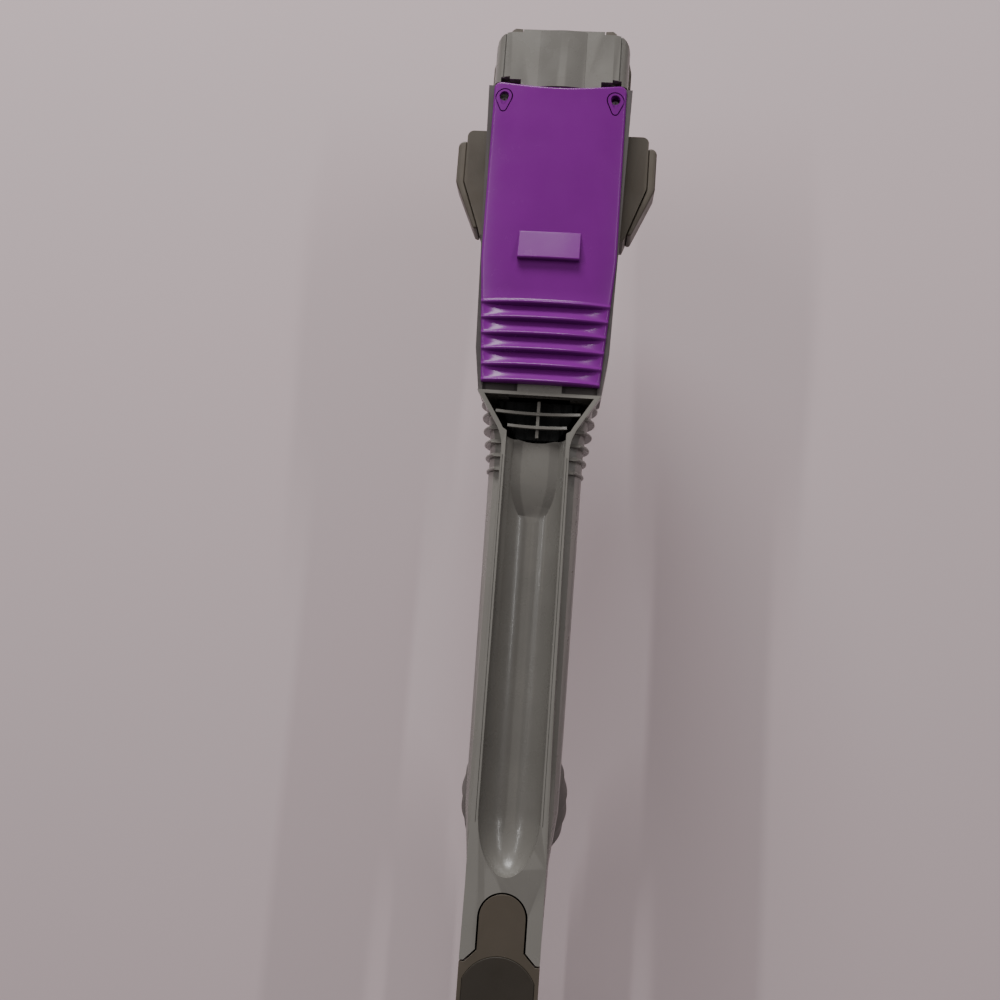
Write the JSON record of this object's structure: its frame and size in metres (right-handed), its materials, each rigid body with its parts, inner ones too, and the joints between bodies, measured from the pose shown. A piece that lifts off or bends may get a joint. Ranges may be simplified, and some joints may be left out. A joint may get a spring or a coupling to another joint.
{
  "type": "cordless stick vacuum",
  "caption": "Cordless stick vacuum main unit: nozzle socket with pinch latches, purple arched cover, ribbed neck, trough shaft and loop handle.",
  "frame": {"origin": "centre of the suction mouth, on the bore's axis at the socket's top end", "axes": "+Z out of the suction mouth along the bore; +Y towards the back and the loop handle; +X to the right seen from the cover"},
  "size_m": [0.1216, 0.1171, 0.6565],
  "materials": {
    "satin_grey": "satin moulded plastic, warm silver grey",
    "handle_grey": "satin moulded plastic, warm grey",
    "casing_grey": "satin moulded plastic, dark warm grey",
    "gloss_purple": "glossy moulded plastic, violet",
    "dark_grey": "matte moulded plastic, charcoal",
    "soft_pad": "soft-touch rubber, brown grey",
    "grey_rubber": "ribbed rubber, mid grey",
    "black_rubber": "black rubber",
    "steel": "bright steel",
    "spring_steel": "spring wire",
    "motor_metal": "pressed and machined metal",
    "copper": "enamelled copper and laminations",
    "foam": "open-cell filter foam",
    "black_foam": "pleated charcoal filter fabric",
    "cell_wrap": "shrink sleeve",
    "nickel": "nickel strip",
    "board": "solder-masked board",
    "wire": "silicone wire sleeve"
  },
  "bodies": {
    "main": {"nozzle_socket": "satin_grey", "socket_seal": "black_rubber", "flap_pin": "steel", "casing_right": "casing_grey", "casing_left": "casing_grey", "front_cover": "gloss_purple", "cover_screws": "steel", "latch_pins": "steel", "dust_chamber": "dark_grey", "mesh_shroud": "steel", "door_pin": "steel", "pre_motor_filter": "foam", "exhaust_filter": "black_foam", "motor_mount_ring": "black_rubber", "motor_housing": "motor_metal", "bearing_upper": "steel", "bearing_lower": "steel", "motor_stator": "copper", "shaft_front_shell": "satin_grey", "shaft_rear_shell": "satin_grey", "exhaust_grille": "satin_grey", "battery_cells": "cell_wrap", "battery_holder": "dark_grey", "cell_straps": "nickel", "control_board": "board", "charge_socket": "dark_grey", "motor_leads": "wire", "handle_front_shell": "handle_grey", "handle_back_shell": "satin_grey", "grip_pad": "soft_pad", "grip_boot": "grey_rubber", "grip_left_shell": "satin_grey", "grip_right_shell": "satin_grey", "trigger_pin": "steel", "micro_switch": "dark_grey"},
    "latch_right": {"latch_lever_right": "handle_grey", "latch_cap_right": "handle_grey", "latch_spring_right": "spring_steel"},
    "latch_left": {"latch_lever_left": "handle_grey", "latch_cap_left": "handle_grey", "latch_spring_left": "spring_steel"},
    "flap": {"inlet_flap": "dark_grey"},
    "spinner": {"rotor": "steel", "impeller": "motor_metal"},
    "bin_door": {"bin_door": "satin_grey", "door_seal": "black_rubber"},
    "door_catch": {"door_catch": "dark_grey"},
    "trigger": {"trigger": "dark_grey", "trigger_spring": "spring_steel"}
  },
  "joints": [
    {"name": "latch_right_pinch", "type": "hinge", "parent": "main", "child": "latch_right", "pos_m": [0.0386, 0, -0.05], "axis": [0, 1, 0], "range_deg": [0, 2], "stiffness_Nm_per_rad": 2, "springref_deg": -5.73},
    {"name": "latch_left_pinch", "type": "hinge", "parent": "main", "child": "latch_left", "pos_m": [-0.0386, 0, -0.05], "axis": [0, -1, 0], "range_deg": [0, 2], "stiffness_Nm_per_rad": 2, "springref_deg": -5.73},
    {"name": "flap_swing", "type": "hinge", "parent": "main", "child": "flap", "pos_m": [0, 0.0185, -0.063], "axis": [1, 0, 0], "range_deg": [0, 75], "stiffness_Nm_per_rad": 0.002, "springref_deg": -22.92},
    {"name": "rotor_spin", "type": "hinge", "parent": "main", "child": "spinner", "pos_m": [0, 0.002, -0.18], "axis": [0, 0, 1], "continuous": true},
    {"name": "bin_door_swing", "type": "hinge", "parent": "main", "child": "bin_door", "pos_m": [0, 0.027, -0.1435], "axis": [-1, 0, 0], "range_deg": [0, 95]},
    {"name": "door_catch_slide", "type": "slide", "parent": "bin_door", "child": "door_catch", "axis": [0, 0, 1], "range_m": [0, 0.004]},
    {"name": "trigger_pull", "type": "hinge", "parent": "main", "child": "trigger", "pos_m": [0, 0.056, -0.538], "axis": [1, 0, 0], "range_deg": [0, 9], "stiffness_Nm_per_rad": 0.3, "springref_deg": -17.19}
  ]
}
